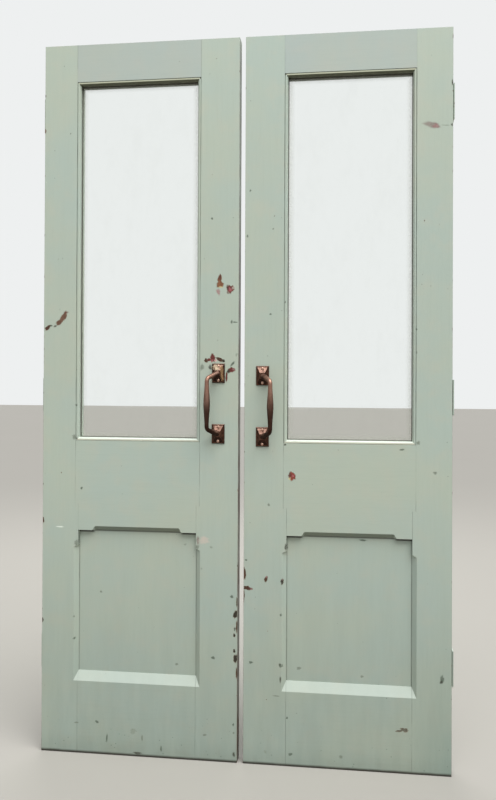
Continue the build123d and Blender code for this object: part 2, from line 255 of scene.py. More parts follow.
def paint(name, grain, tint=None, tint_share=0.0, underside_shade=0.0, wear=1.0,
          under=(red_primer, cream_undercoat), bare=0.0, crevice=None, edges=1.0, smudged=False):
    """Aged satin paint, brushed along the grain, with grime, specks and worn arrises.

    tint and its share colour the whole paint. Faces that look up are lighter, chalked and with painted
    light, and underside_shade is how much painted shade darkens the faces that look down. wear is how
    much shows of the layers under it at the arrises, bare how much on the faces, and edges how much the
    leaf's edge faces darken and brown, most low down. crevice is where painted shade and dirt darken a
    recess: "glass" for the beads, "panel" for the panel's edges. smudged paint also shows the tone and
    cover of its mesh's points.
    """
    material, tree = new_tree(name)
    place = object_place(tree)
    axes = make(tree, "SeparateXYZ", {0: place}).node.outputs
    width = calc(tree, "ABSOLUTE", axes[0])
    height = axes[2]
    stretch = grain_stretch[grain]

    clouds = noise(tree, place, 3.1, 3, 0.55)
    patches = noise(tree, place, 17, 4, 0.6, shift=3.7)
    brush = noise(tree, place, 150, 3, 0.6, stretch, 1.3)
    bristles = noise(tree, place, 620, 2, 0.5, stretch, 5.1)
    fine = noise(tree, place, 420, 2, 0.5, shift=8.2)

    colour = blend_colours(tree, span(tree, clouds, 0.34, 0.66), sage_cool, sage)
    colour = blend_colours(tree, span(tree, patches, 0.45, 0.72, 0, 0.34), colour, sage_warm)
    colour = blend_colours(tree, span(tree, brush, 0.44, 0.70, 0, 0.09), colour, sage_deep)
    colour = blend_colours(tree, span(tree, bristles, 0.52, 0.75, 0, 0.04), colour, grime)
    if tint is not None:
        colour = blend_colours(tree, tint_share, colour, tint)

    true_normal = make(tree, "NewGeometry", {}, output="True Normal")
    tilt = make(tree, "SeparateXYZ", {0: true_normal}).node.outputs[2]
    # Faces that look up are lighter: chalked paint, and painted light from above.
    upward = span(tree, tilt, 0.15, 0.6)
    colour = blend_colours(tree, times(tree, upward, 0.75), colour, chalked_and_lit)
    # The paint grows darker towards the bottom, in upright streaks.
    low = span(tree, height, *darker_low_heights, 0.44, 0.0)
    splash = times(tree, span(tree, height, *splash_heights, 0.25, 0.0), patches)
    rain = noise(tree, place, 28, 4, 0.62, (1, 1, 0.16), 2.4)
    film = times(tree, low, span(tree, rain, 0.30, 0.68, 0.78, 1))
    dirt = times(tree, calc(tree, "ADD", film, splash), calc(tree, "SUBTRACT", 1, times(tree, upward, 0.6)))
    colour = blend_colours(tree, dirt, colour, grime)
    # The right leaf's lower outer corner is darker and blue-green.
    corner_side = span(tree, axes[0], *darker_corner_widths, 0, 0.16)
    darker_corner = times(tree, corner_side, span(tree, height, *darker_corner_heights, 1, 0))
    colour = blend_colours(tree, darker_corner, colour, corner_blue_green)

    speckle = specks(tree, place, 42, 0.22, 0.045)
    colour = blend_colours(tree, times(tree, speckle, 0.8), colour, dark_grime_and_shade)
    mud = times(tree, specks(tree, place, 75, 0.4, 0.13), span(tree, height, *mud_heights, 0.6, 0.0))
    colour = blend_colours(tree, mud, colour, grime)
    # A dark band along the leaf's foot.
    foot = calc(tree, "ADD", height, times(tree, patches, 0.004))
    colour = blend_colours(tree, span(tree, foot, *dark_foot_band, 0.97, 0), colour, dark_grime_and_shade)
    dust = specks(tree, place, 120, 0.16, 0.06)
    colour = blend_colours(tree, times(tree, dust, 0.5), colour, grime)

    along = noise(tree, place, 9, 3, 0.6, shift=6.6)
    off_joint = shoulder_distance(tree, width, height)
    joint = times(tree, span(tree, off_joint, *joint_line, 1, 0), span(tree, along, 0.38, 0.62, 0.1, 1))
    colour = blend_colours(tree, times(tree, joint, 0.32), colour, dark_grime_and_shade)

    rounded = make(tree, "Bevel", {"Radius": 1.1 * MM}, samples=4)
    agreement = make(tree, "VectorMath", {0: rounded, 1: true_normal}, output="Value",
                     operation="DOT_PRODUCT")
    arris = span(tree, agreement, 0.80, 0.98, 1, 0)
    rubbed = noise(tree, place, 36, 5, 0.7, shift=11.3)
    at_arris = times(tree, arris, span(tree, off_joint, *kept_by_joint), wear)
    worn = times(tree, at_arris, span(tree, rubbed, 0.54, 0.60))
    if bare:
        worn = calc(tree, "MAXIMUM", worn, span(tree, patches, 0.66 - bare / 4, 0.69 - bare / 4))
    layer = blend_colours(tree, span(tree, fine, 0.42, 0.56), under[0], under[1])
    colour = blend_colours(tree, times(tree, worn, 0.75), colour, layer)

    # Painted shade on the faces that look down, in the olive shadow tone.
    if underside_shade:
        down = span(tree, tilt, -0.75, -0.25, underside_shade, 0)
        colour = blend_colours(tree, down, colour, olive_shadow)
    # Painted shade and dirt on the beads, deepest next to the glass.
    if crevice == "glass":
        begins, thickest = [glass_front - distance for distance in bead_shade_and_dirt]
        depth = span(tree, axes[1], begins, thickest, 0, 0.72)
        colour = blend_colours(tree, depth, colour, dark_grime_and_shade)
    # Painted shade and dirt on the panel, under the rail, in its upper corners and beside the stiles.
    if crevice == "panel":
        drop = calc(tree, "SUBTRACT", panel_top, height)
        at_side = distance_from(tree, width, lower_shoulders[0])
        at_side = calc(tree, "MINIMUM", at_side, distance_from(tree, width, lower_shoulders[1]))
        near_stile = span(tree, at_side, *corner_widths, 1, 0)
        in_corner = times(tree, span(tree, drop, *under_corner, 0.95, 0), near_stile)
        panel_shade_and_dirt = calc(tree, "MAXIMUM", in_corner, span(tree, drop, *under_rail, 0.78, 0))
        panel_shade_and_dirt = calc(tree, "MAXIMUM", panel_shade_and_dirt, span(tree, at_side, *beside_stile, 0.4, 0))
        colour = blend_colours(tree, panel_shade_and_dirt, colour, dark_grime_and_shade)

    # The leaf's edge faces grow darker and browner, most low down.
    if edges:
        closing = calc(tree, "LESS_THAN", width, meeting_edge + edge_slack)
        hanging = calc(tree, "GREATER_THAN", width, hinge_edge - edge_slack)
        edge_face = calc(tree, "MAXIMUM", closing, times(tree, hanging, 0.4))
        patchy = span(tree, along, 0.36, 0.6, 0.4, 0.9)
        edge_darkening = times(tree, patchy, span(tree, height, *edge_darkening_heights, 1, 0.35))
        colour = blend_colours(tree, times(tree, edge_face, edge_darkening, edges), colour, edge_brown)

    if smudged:
        tone = make(tree, "Attribute", {}, output="Color", attribute_name="tone")
        cover = make(tree, "Attribute", {}, output="Fac", attribute_name="cover")
        blots = noise(tree, place, 330, 3, 0.6, shift=1.9)
        colour = blend_colours(tree, times(tree, cover, span(tree, blots, 0.3, 0.7, 0.75, 1.1)), colour, tone)

    relief = calc(tree, "ADD", times(tree, brush, 0.5), times(tree, bristles, 0.3))
    relief = calc(tree, "ADD", relief, times(tree, fine, 0.16))
    relief = calc(tree, "SUBTRACT", relief, times(tree, joint, 1.6))
    relief = calc(tree, "SUBTRACT", relief, times(tree, worn, 0.8))
    normal = bump(tree, relief, 0.16 * MM, rounded)
    gloss = calc(tree, "ADD", span(tree, patches, 0.3, 0.7, 0.40, 0.52), times(tree, dirt, 0.25))
    surface(name, colour, gloss, normal, Specular_IOR_Level=0.42)
    return material


def layer_material(name, scale, stretch=(1, 1, 1), depth=0.12 * MM):
    """A bare layer under the paint, in the tone of its mesh's points, mottled, with darker pores."""
    material, tree = new_tree(name)
    place = object_place(tree)
    coarse = noise(tree, place, scale, 4, 0.6, stretch)
    pores = noise(tree, place, scale * 3.7, 3, 0.6, stretch, 4.4)
    tone = make(tree, "Attribute", {}, output="Color", attribute_name="tone")
    darker = make(tree, "Mix", {0: 1.0, 6: tone, 7: rgb(206, 200, 200)}, output=2, data_type="RGBA",
                  blend_type="MULTIPLY")
    pore_tone = make(tree, "Mix", {0: 1.0, 6: tone, 7: rgb(160, 150, 150)}, output=2, data_type="RGBA",
                     blend_type="MULTIPLY")
    colour = blend_colours(tree, span(tree, coarse, 0.36, 0.64), tone, darker)
    colour = blend_colours(tree, span(tree, pores, 0.50, 0.72, 0, 0.7), colour, pore_tone)
    surface(name, colour, 0.72, bump(tree, pores, depth), Specular_IOR_Level=0.25)
    return material


def bronze(name, rubbed=0.0):
    """Cast bronze gone brown, with pitting, coppery places rubbed by hands, and painted light: highlights on
    upward faces and the grip's top, shade on downward faces, the grip's lower part and the plate's foot.
    """
    material, tree = new_tree(name)
    place = object_place(tree)
    axes = make(tree, "SeparateXYZ", {0: place}).node.outputs
    cast = noise(tree, place, 900, 4, 0.65)
    stains = noise(tree, place, 110, 4, 0.6, shift=2.2)
    pits = specks(tree, place, 520, 0.35, 0.25)
    rub = noise(tree, place, 70, 4, 0.6, (1, 1, 0.4), 7.7)
    colour = blend_colours(tree, span(tree, stains, 0.35, 0.65), bronze_dark, bronze_brown)
    colour = blend_colours(tree, span(tree, cast, 0.46, 0.70, 0, 0.6), colour, bronze_skin)
    forward = span(tree, axes[1], *handle_depths, 0.75, 0)
    facing = make(tree, "SeparateXYZ", {0: make(tree, "TexCoord", {}, output="Normal")}).node.outputs
    outward = span(tree, facing[1], -1.0, -0.1, 1, 0.12)
    upward = span(tree, facing[2], -0.02, 0.40)
    downward = span(tree, facing[2], -0.17, 0.04, 1, 0)
    from_middle = calc(tree, "SUBTRACT", axes[2], grip_middle)
    # Painted shade on the lower part of the grip, and a painted highlight on its upper part.
    grip_shade = span(tree, from_middle, *grip_shade_heights, 0.92, 0)
    grip_highlight = span(tree, from_middle, *grip_highlight_heights, 0, 0.36)
    on_grip = span(tree, axes[1], *grip_depths)
    # Places rubbed by hands at the grip's front, and a painted highlight on the faces that look up.
    rub_and_highlight = calc(tree, "MAXIMUM", times(tree, forward, outward), upward)
    rub_and_highlight = times(tree, rub_and_highlight, span(tree, rub, 0.34, 0.60, 0.35, 1))
    rub_and_highlight = calc(tree, "MAXIMUM", rub_and_highlight, rubbed)
    rub_and_highlight_tone = screw_painted_highlight if rubbed else bronze_rub_and_highlight
    colour = blend_colours(tree, times(tree, rub_and_highlight, 0.85), colour, rub_and_highlight_tone)
    # Painted shade on the faces that look down.
    colour = blend_colours(tree, times(tree, downward, 0.72 * (1 - rubbed)), colour, bronze_painted_shade)
    colour = blend_colours(tree, times(tree, on_grip, grip_shade), colour, grip_painted_shade)
    colour = blend_colours(tree, times(tree, on_grip, grip_highlight), colour, grip_painted_highlight)
    # Grime and painted shade at the plate's foot, against the stile.
    at_stile = span(tree, axes[1], *plate_foot, 0, 0.7)
    colour = blend_colours(tree, at_stile, colour, stile_grime_and_shade)
    colour = blend_colours(tree, times(tree, pits, 0.7), colour, pit_dark)
    relief = calc(tree, "SUBTRACT", times(tree, cast, 0.6), times(tree, pits, 0.6))
    roughness = span(tree, rub_and_highlight, 0, 1, 0.54, 0.42)
    surface(name, colour, roughness, bump(tree, relief, 0.12 * MM), Metallic=0.9)
    return material


def steel(name):
    """Dull hinge steel, browned by rust."""
    material, tree = new_tree(name)
    place = object_place(tree)
    blotches = noise(tree, place, 60, 5, 0.65)
    grit = noise(tree, place, 800, 3, 0.6, shift=3.1)
    rust = span(tree, blotches, 0.45, 0.62)
    colour = blend_colours(tree, grit, rgb(84, 82, 78), rgb(58, 57, 55))
    orange = blend_colours(tree, grit, rgb(122, 68, 42), rgb(78, 46, 34))
    colour = blend_colours(tree, times(tree, rust, 0.85), colour, orange)
    roughness = span(tree, rust, 0, 1, 0.44, 0.8)
    metallic = span(tree, rust, 0, 1, 0.9, 0.15)
    surface(name, colour, roughness, bump(tree, grit, 0.1 * MM), Metallic=metallic)
    return material


def old_glass(name):
    """Old clear sheet glass, a little green, with a film of dust that gathers along the beads."""
    material, tree = new_tree(name)
    place = object_place(tree)
    axes = make(tree, "SeparateXYZ", {0: place}).node.outputs
    width = calc(tree, "ABSOLUTE", axes[0])
    edges = []
    for value, places in ((width, sight_sides), (axes[2], sight_ends)):
        for edge in places:
            edges.append(distance_from(tree, value, edge))
    nearest = edges[0]
    for edge in edges[1:]:
        nearest = calc(tree, "MINIMUM", nearest, edge)
    smears = noise(tree, place, 14, 4, 0.65, (1, 1, 0.5))
    grit = noise(tree, place, 300, 3, 0.6, shift=2.9)
    rim = times(tree, span(tree, nearest, *glass_dirt, 0.26, 0.0), span(tree, grit, 0.35, 0.6, 0.4, 1))
    film = calc(tree, "ADD", rim, span(tree, smears, 0.42, 0.8, 0.004, 0.03))
    # A dark line of putty and painted shade at the glass's edge, where the beads shade it.
    putty_and_shade_mask = span(tree, nearest, *putty_and_shade_line, 0.85, 0)
    film = calc(tree, "MAXIMUM", film, putty_and_shade_mask)
    waves = noise(tree, place, 7, 2, 0.4, (1, 1, 0.35), 9.1)
    normal = bump(tree, waves, 0.5 * MM)
    glass = surface(name, clear_glass, 0.0, normal, Transmission_Weight=1.0, IOR=1.5)
    dust = tree.nodes.new("ShaderNodeBsdfPrincipled")
    dust_colour = blend_colours(tree, putty_and_shade_mask, glass_dust, putty_and_shade)
    tree.links.new(dust_colour, dust.inputs["Base Color"])
    dust.inputs["Roughness"].default_value = 0.9
    dusty = make(tree, "MixShader", {0: film, 1: glass.outputs[0], 2: dust.outputs[0]})
    clear = make(tree, "BsdfTransparent", {"Color": glass_shadow})
    lamp_ray = make(tree, "LightPath", {}, output="Is Shadow Ray")
    shown = make(tree, "MixShader", {0: lamp_ray, 1: dusty, 2: clear})
    output = next(node for node in tree.nodes if node.type == "OUTPUT_MATERIAL")
    tree.links.new(shown, output.inputs[0])
    return material


paint_looks = {
    "paint_upright": {"grain": "upright"},
    "paint_level": {"grain": "level"},
    "paint_top_rail": {"grain": "level", "tint": grey_weathered, "tint_share": 0.25, "underside_shade": 0.8},
    "paint_lock_rail": {"grain": "level", "underside_shade": 0.6},
    "paint_panel": {"grain": "upright", "crevice": "panel"},
    "paint_bead": {"grain": "upright", "wear": 0.5, "crevice": "glass"},
    "paint_top_bead": {"grain": "level", "tint": olive_tan, "tint_share": 0.55, "underside_shade": 0.86,
                       "wear": 0.5, "crevice": "glass"},
    # The bottom bead's cream tint paints its highlight.
    "paint_bottom_bead_highlit": {"grain": "level", "tint": cream, "tint_share": 0.45, "wear": 0.5,
                          "crevice": "glass"},
    "paint_edge": {"grain": "level", "tint": cream_undercoat, "tint_share": 0.12},
}
paints = {name: paint(name, **look) for name, look in paint_looks.items()}
painted_hinge = paint("painted_hinge", "upright", under=(rust_brown, dull_steel), bare=0.14, edges=0)
bare_layer = layer_material("bare_layer", 260)
bare_timber = layer_material("bare_timber", 420, stretch=(1, 1, 0.12))
flake_edge = layer_material("flake_edge", 500)

# The tone of what a chip bares.
chip_tones = {
    "primer": (152, 78, 66),
    "crimson": (118, 62, 58),
    "orange": (142, 98, 70),
    "timber": (128, 98, 80),
    "umber": (88, 66, 52),
    "slate": (116, 113, 99),
    "dark": (64, 60, 50),
}
grained = ("orange", "timber", "umber")
flake_tone = rgb(190, 188, 166)

# The tone of what soils or splashes the paint, and how much of it that covers.
smudge_tones = {
    "spot": ((84, 96, 82), 0.95),
    "stain": ((118, 126, 112), 0.85),
    "faint": ((134, 143, 128), 0.7),
    "soot": ((66, 68, 56), 0.95),
    "bruise": ((92, 58, 50), 0.9),
    "smear": ((138, 126, 118), 0.95),
    "mauve": ((160, 122, 119), 0.9),
    "plum": ((106, 72, 62), 0.9),
    "rose": ((196, 122, 124), 0.95),
    "blush": ((222, 178, 172), 0.95),
    "pink": ((198, 189, 176), 0.9),
    "cream": ((210, 198, 150), 0.95),
    "pale": ((226, 234, 222), 1.0),
    "tan": ((206, 188, 158), 1.0),
    "gold": ((152, 120, 84), 1.0),
}

bronze_metal = bronze("bronze")
# The screw heads are painted bright all over, a painted highlight, with no painted shade on their lower
# faces.
screw_bronze = bronze("screw_bronze", rubbed=1.0)
hinge_metal = steel("steel")
window_glass = old_glass("glass")

materials_by_ending = (
    ("hinge_stile", paints["paint_upright"]),
    ("meeting_stile", paints["paint_upright"]),
    ("panel", paints["paint_panel"]),
    ("top_rail", paints["paint_top_rail"]),
    ("lock_rail", paints["paint_lock_rail"]),
    ("rail", paints["paint_level"]),
    ("top_bead", paints["paint_top_bead"]),
    ("bottom_bead", paints["paint_bottom_bead_highlit"]),
    ("side_bead", paints["paint_bead"]),
    ("tenon_wedges", paints["paint_edge"]),
    ("glass", window_glass),
    ("pull_handle", bronze_metal),
    ("handle_screws", screw_bronze),
    ("hinge_screws", hinge_metal),
    ("flap", painted_hinge),
    ("pin", hinge_metal),
)


def material_for(node_name):
    for ending, material in materials_by_ending:
        if node_name.endswith(ending):
            return material
    raise ValueError("no material for " + node_name)


smudged_paints = {}


def skin_for(node_name):
    """A node's material for marks that lie on it: its paint in the version that shows smudges."""
    material = material_for(node_name)
    if material.name not in paint_looks:
        return material
    if material.name not in smudged_paints:
        look = paint_looks[material.name]
        smudged_paints[material.name] = paint(material.name + "_smudged", smudged=True, **look)
    return smudged_paints[material.name]


for node_name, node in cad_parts.items():
    for slot in node.material_slots:
        slot.material = material_for(node_name)


# How far inside the arrises the rays go in, from how far off they start, and what counts as past an arris.
ray_inset = 0.00005
ray_start = 0.3
past_arris = 0.0001


class LeafSurface:
    """The leaf's CAD surface, for laying thin marks on it from the front or from the back."""

    def __init__(self, side):
        points, faces = [], []
        self.face_nodes = []
        for name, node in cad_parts.items():
            if not name.startswith(side + "_") or "hinge_pin" in name or "flap" in name:
                continue
            first = len(points)
            points += [vertex.co.copy() for vertex in node.data.vertices]
            for polygon in node.data.polygons:
                faces.append([first + index for index in polygon.vertices])
                self.face_nodes.append(name)
        self.tree = BVHTree.FromPolygons(points, faces)
        self.sign = 1 if side == "right" else -1

    def at(self, x, z, lift, back=False):
        """The point lift above the surface at x, z, and its node's name, also round the upright arrises."""
        way = -1 if back else 1
        across = abs(x)
        inside = min(max(across, meeting_edge + ray_inset), hinge_edge - ray_inset)
        beyond = across - inside
        start = Vector((self.sign * inside, -ray_start * way, z))
        hit, normal, face, _ = self.tree.ray_cast(start, Vector((0, way, 0)))
        if hit is None:
            return None, None
        if abs(beyond) > past_arris:
            outward = self.sign * math.copysign(1, beyond)
            point = Vector((self.sign * (hinge_edge if beyond > 0 else meeting_edge), hit.y, z))
            point += Vector((outward * lift, way * (abs(beyond) - ray_inset), 0))
            return point, self.face_nodes[face]
        return hit + normal * lift, self.face_nodes[face]


# How many points a mark's outline has: these, and more for each millimetre of its size, within limits.
first_points = 10
points_a_millimetre = 1.1
fewest_points, most_points = 11, 34


class Outline:
    """The ragged outline of one mark: an ellipse with random waves and nicks."""

    def __init__(self, x, z, wide, high, tilt, kind, draws, ragged=0.22, back=False):
        self.x, self.z, self.wide, self.high = x, z, wide, high
        self.kind = kind
        self.back = back
        self.turn = math.radians(tilt)
        self.size = math.sqrt(wide * high)
        self.reach = max(wide, high)
        self.count = int(first_points + self.size * points_a_millimetre)
        self.count = max(fewest_points, min(most_points, self.count))
        self.waves = [(lobes, draws.uniform(0, math.tau), draws.uniform(0.4, 1) * ragged / lobes ** 0.5)
                      for lobes in (2, 3, 5, 7)]
        self.nicks = [draws.uniform(-0.5, 0.5) * ragged for _ in range(self.count)]

    def radius(self, angle):
        """How far out the outline is in that direction, where its ellipse has 1."""
        place = angle / math.tau * self.count
        first = math.floor(place)
        part = place - first
        nick = self.nicks[first % self.count] * (1 - part) + self.nicks[(first + 1) % self.count] * part
        return 1 + nick + sum(depth * math.sin(lobes * angle + phase) for lobes, phase, depth in self.waves)

    def point(self, angle, share):
        radius = share * self.radius(angle)
        across = radius * self.wide / 2 * math.cos(angle)
        upward = radius * self.high / 2 * math.sin(angle)
        x = self.x + across * math.cos(self.turn) - upward * math.sin(self.turn)
        return x, self.z + across * math.sin(self.turn) + upward * math.cos(self.turn)

    def share_at(self, x, z):
        """Where a point is between the middle, 0, and the outline, 1."""
        dx, dz = x - self.x, z - self.z
        if abs(dx) > self.reach or abs(dz) > self.reach:
            return 2.0
        across = (dx * math.cos(self.turn) + dz * math.sin(self.turn)) / (self.wide / 2)
        upward = (dz * math.cos(self.turn) - dx * math.sin(self.turn)) / (self.high / 2)
        return math.hypot(across, upward) / self.radius(math.atan2(upward, across))


def soft_step(value, low, high):
    part = min(max((value - low) / (high - low), 0.0), 1.0)
    return part * part * (3 - 2 * part)


# Each ring of a mark: its share of the outline's radius, its lift in millimetres, and its layer.
chip_rings = (
    (1.16, 0.02, "skin"),
    (1.05, 0.20, "skin"),
    (1.00, 0.26, "skin"),
    (0.93, 0.07, "edge"),
)
floor_shares = {"small": (0.60, 0.28), "large": (0.80, 0.62, 0.43, 0.22)}
floor_lift = 0.05
# The size in millimetres from which a chip counts as large, the relief of the very smallest as a share
# of full relief, and the size that would add one full relief to it.
large_chip = 9
least_relief = 0.35
relief_growth = 14
splash_rings = (
    (1.00, 0.02, "floor"),
    (0.94, 0.10, "floor"),
    (0.60, 0.15, "floor"),
    (0.30, 0.12, "floor"),
)
filled_rings = (
    (1.30, 0.02, "skin"),
    (1.00, 0.12, "skin"),
    (0.62, 0.16, "skin"),
    (0.35, 0.06, "skin"),
)
smudge_shares = (1.00, 0.86, 0.70, 0.52, 0.33, 0.16)
smudge_lift = 0.012
smudge_step = 0.0003
# A smudge is at its full strength within this share of its outline.
full_smudge = 0.45

# How uneven a mark's floor is, and its skin where it is lifted this much or more, in millimetres.
uneven_floor = 0.018
uneven_rim = 0.03
rim_lift = 0.1

# In millimetres: how near to the leaf's ends a mark may come, how much deeper a point may lie than
# its mark's middle, and how near beside that middle such a point ends the mark.
end_margin = 0.4
deepest_step = 6
same_face = 0.2
# The rim of a chip is flat within this share of another chip's outline.
well_inside = 0.97


class Marks:
    """All the marks of one leaf, gathered into one mesh."""

    def __init__(self, side):
        self.side = side
        self.leaf = LeafSurface(side)
        self.mesh = bmesh.new()
        self.tone = self.mesh.verts.layers.float_vector.new("tone")
        self.cover = self.mesh.verts.layers.float.new("cover")
        self.materials = []
        self.random = random.Random(side)
        self.chips, self.smudges, self.splashes, self.fillings = [], [], [], []

    def slot_for(self, material):
        if material not in self.materials:
            self.materials.append(material)
        return self.materials.index(material)

    def add(self, x, z, wide, high, tilt, kind, **more):
        """Plans one mark, centred at x, z, of that width and height, turned anticlockwise by tilt."""
        groups = ((chip_tones, self.chips), (smudge_tones, self.smudges), (("filled",), self.fillings))
        for kinds, group in groups:
            if kind in kinds:
                group.append(Outline(x, z, wide, high, tilt, kind, self.random, **more))

    def soiled(self, x, z, back, tone=(0, 0, 0), cover=0.0):
        """The tone and cover over one point, from every smudge there on top of what is given."""
        for outline in self.smudges:
            share = outline.share_at(x, z) if outline.back == back else 2.0
            if share >= 1:
                continue
            colour, strength = smudge_tones[outline.kind]
            fresh = strength * soft_step(share, 1.0, full_smudge)
            total = fresh + cover * (1 - fresh)
            kept = cover * (1 - fresh) / total if total else 0.0
            tone = [old * kept + new * (1 - kept) for old, new in zip(tone, rgb(*colour))]
            cover = total
        return tone, cover

    def vertex(self, outline, angle, share, lift, base=None):
        """One point of a mark, with its tone and cover, and the name of the node under it."""
        x, z = outline.point(angle, share)
        z = min(max(z, end_margin), leaf_top / MM - end_margin)
        spot, node_name = self.leaf.at(x * MM, z * MM, lift * MM, outline.back)
        if spot is None:
            return None, None
        vertex = self.mesh.verts.new(spot)
        tone, cover = self.soiled(x, z, outline.back, base or (0, 0, 0), 1.0 if base else 0.0)
        vertex[self.tone] = Vector(tone[:3])
        vertex[self.cover] = cover
        return vertex, node_name

    def lay(self, outline, rings, base, floor):
        """Builds a mark from its rings: share, lift in millimetres, and layer of each."""
        centre, _ = self.leaf.at(outline.x * MM, outline.z * MM, 0, outline.back)
        if centre is None:
            return
        loops = []
        for share, lift, layer in rings:
            uneven = uneven_floor if layer == "floor" else 0.0
            if layer == "skin" and lift > rim_lift:
                uneven = uneven_rim
            loop = []
            for index in range(outline.count):
                angle = math.tau * index / outline.count
                raised = lift + self.random.uniform(-uneven, uneven)
                if layer != "floor" and self.in_other_chip(outline, *outline.point(angle, share)):
                    raised = 0.0
                below = {"floor": base, "edge": flake_tone}.get(layer)
                vertex, node_name = self.vertex(outline, angle, share, raised, below)
                if vertex is None:
                    return
                deep = abs(vertex.co.y - centre.y) > deepest_step * MM
                if deep and abs(vertex.co.x - centre.x) < same_face * MM:
                    return
                loop.append((vertex, node_name))
            loops.append(loop)
        hub = self.vertex(outline, 0, 0, rings[-1][1], base)
        inner_loops = loops[1:] + [[hub] * outline.count]
        inner_rings = rings[1:] + rings[-1:]
        for outer, inner, (_, _, layer) in zip(loops, inner_loops, inner_rings):
            for index in range(outline.count):
                following = (index + 1) % outline.count
                corners = [outer[index][0], outer[following][0], inner[following][0], inner[index][0]]
                if inner[index][0] is inner[following][0]:
                    corners.pop()
                skin = skin_for(outer[index][1]) if layer == "skin" else None
                material = skin or {"edge": flake_edge, "floor": floor}[layer]
                self.face(corners, material, outline.back)

    def in_other_chip(self, outline, x, z):
        """Whether the rim of a chip would stand inside another chip, which has no paint left."""
        if outline.kind not in chip_tones:
            return False
        return any(other is not outline and other.back == outline.back
                   and other.share_at(x, z) < well_inside for other in self.chips)

    def face(self, corners, material, back):
        face = self.mesh.faces.new(corners[::-1] if back else corners)
        face.material_index = self.slot_for(material)
        face.smooth = material is not flake_edge

    def finish(self, name):
        """Builds every planned mark and makes the piece."""
        for number, outline in enumerate(self.smudges):
            lift = smudge_lift + number * smudge_step
            self.lay(outline, tuple((share, lift, "skin") for share in smudge_shares), None, None)
        for outline in self.chips:
            relief = min(1.0, least_relief + outline.size / relief_growth)
            inner = floor_shares["large" if outline.size > large_chip else "small"]
            rings = tuple((share, lift * relief, layer) for share, lift, layer in chip_rings)
            rings += tuple((share, floor_lift * relief, "floor") for share in inner)
            floor = bare_timber if outline.kind in grained else bare_layer
            self.lay(outline, rings, rgb(*chip_tones[outline.kind]), floor)
        for outline in self.splashes:
            self.lay(outline, splash_rings, rgb(*smudge_tones[outline.kind][0]), bare_layer)
        for outline in self.fillings:
            self.lay(outline, filled_rings, None, None)
        loose = [vertex for vertex in self.mesh.verts if not vertex.link_faces]
        bmesh.ops.delete(self.mesh, geom=loose, context="VERTS")
        data = bpy.data.meshes.new(name)
        self.mesh.to_mesh(data)
        self.mesh.free()
        for material in self.materials:
            data.materials.append(material)
        piece = bpy.data.objects.new(name, data)
        bpy.context.collection.objects.link(piece)
        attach(piece, self.side + "_leaf")
        return piece


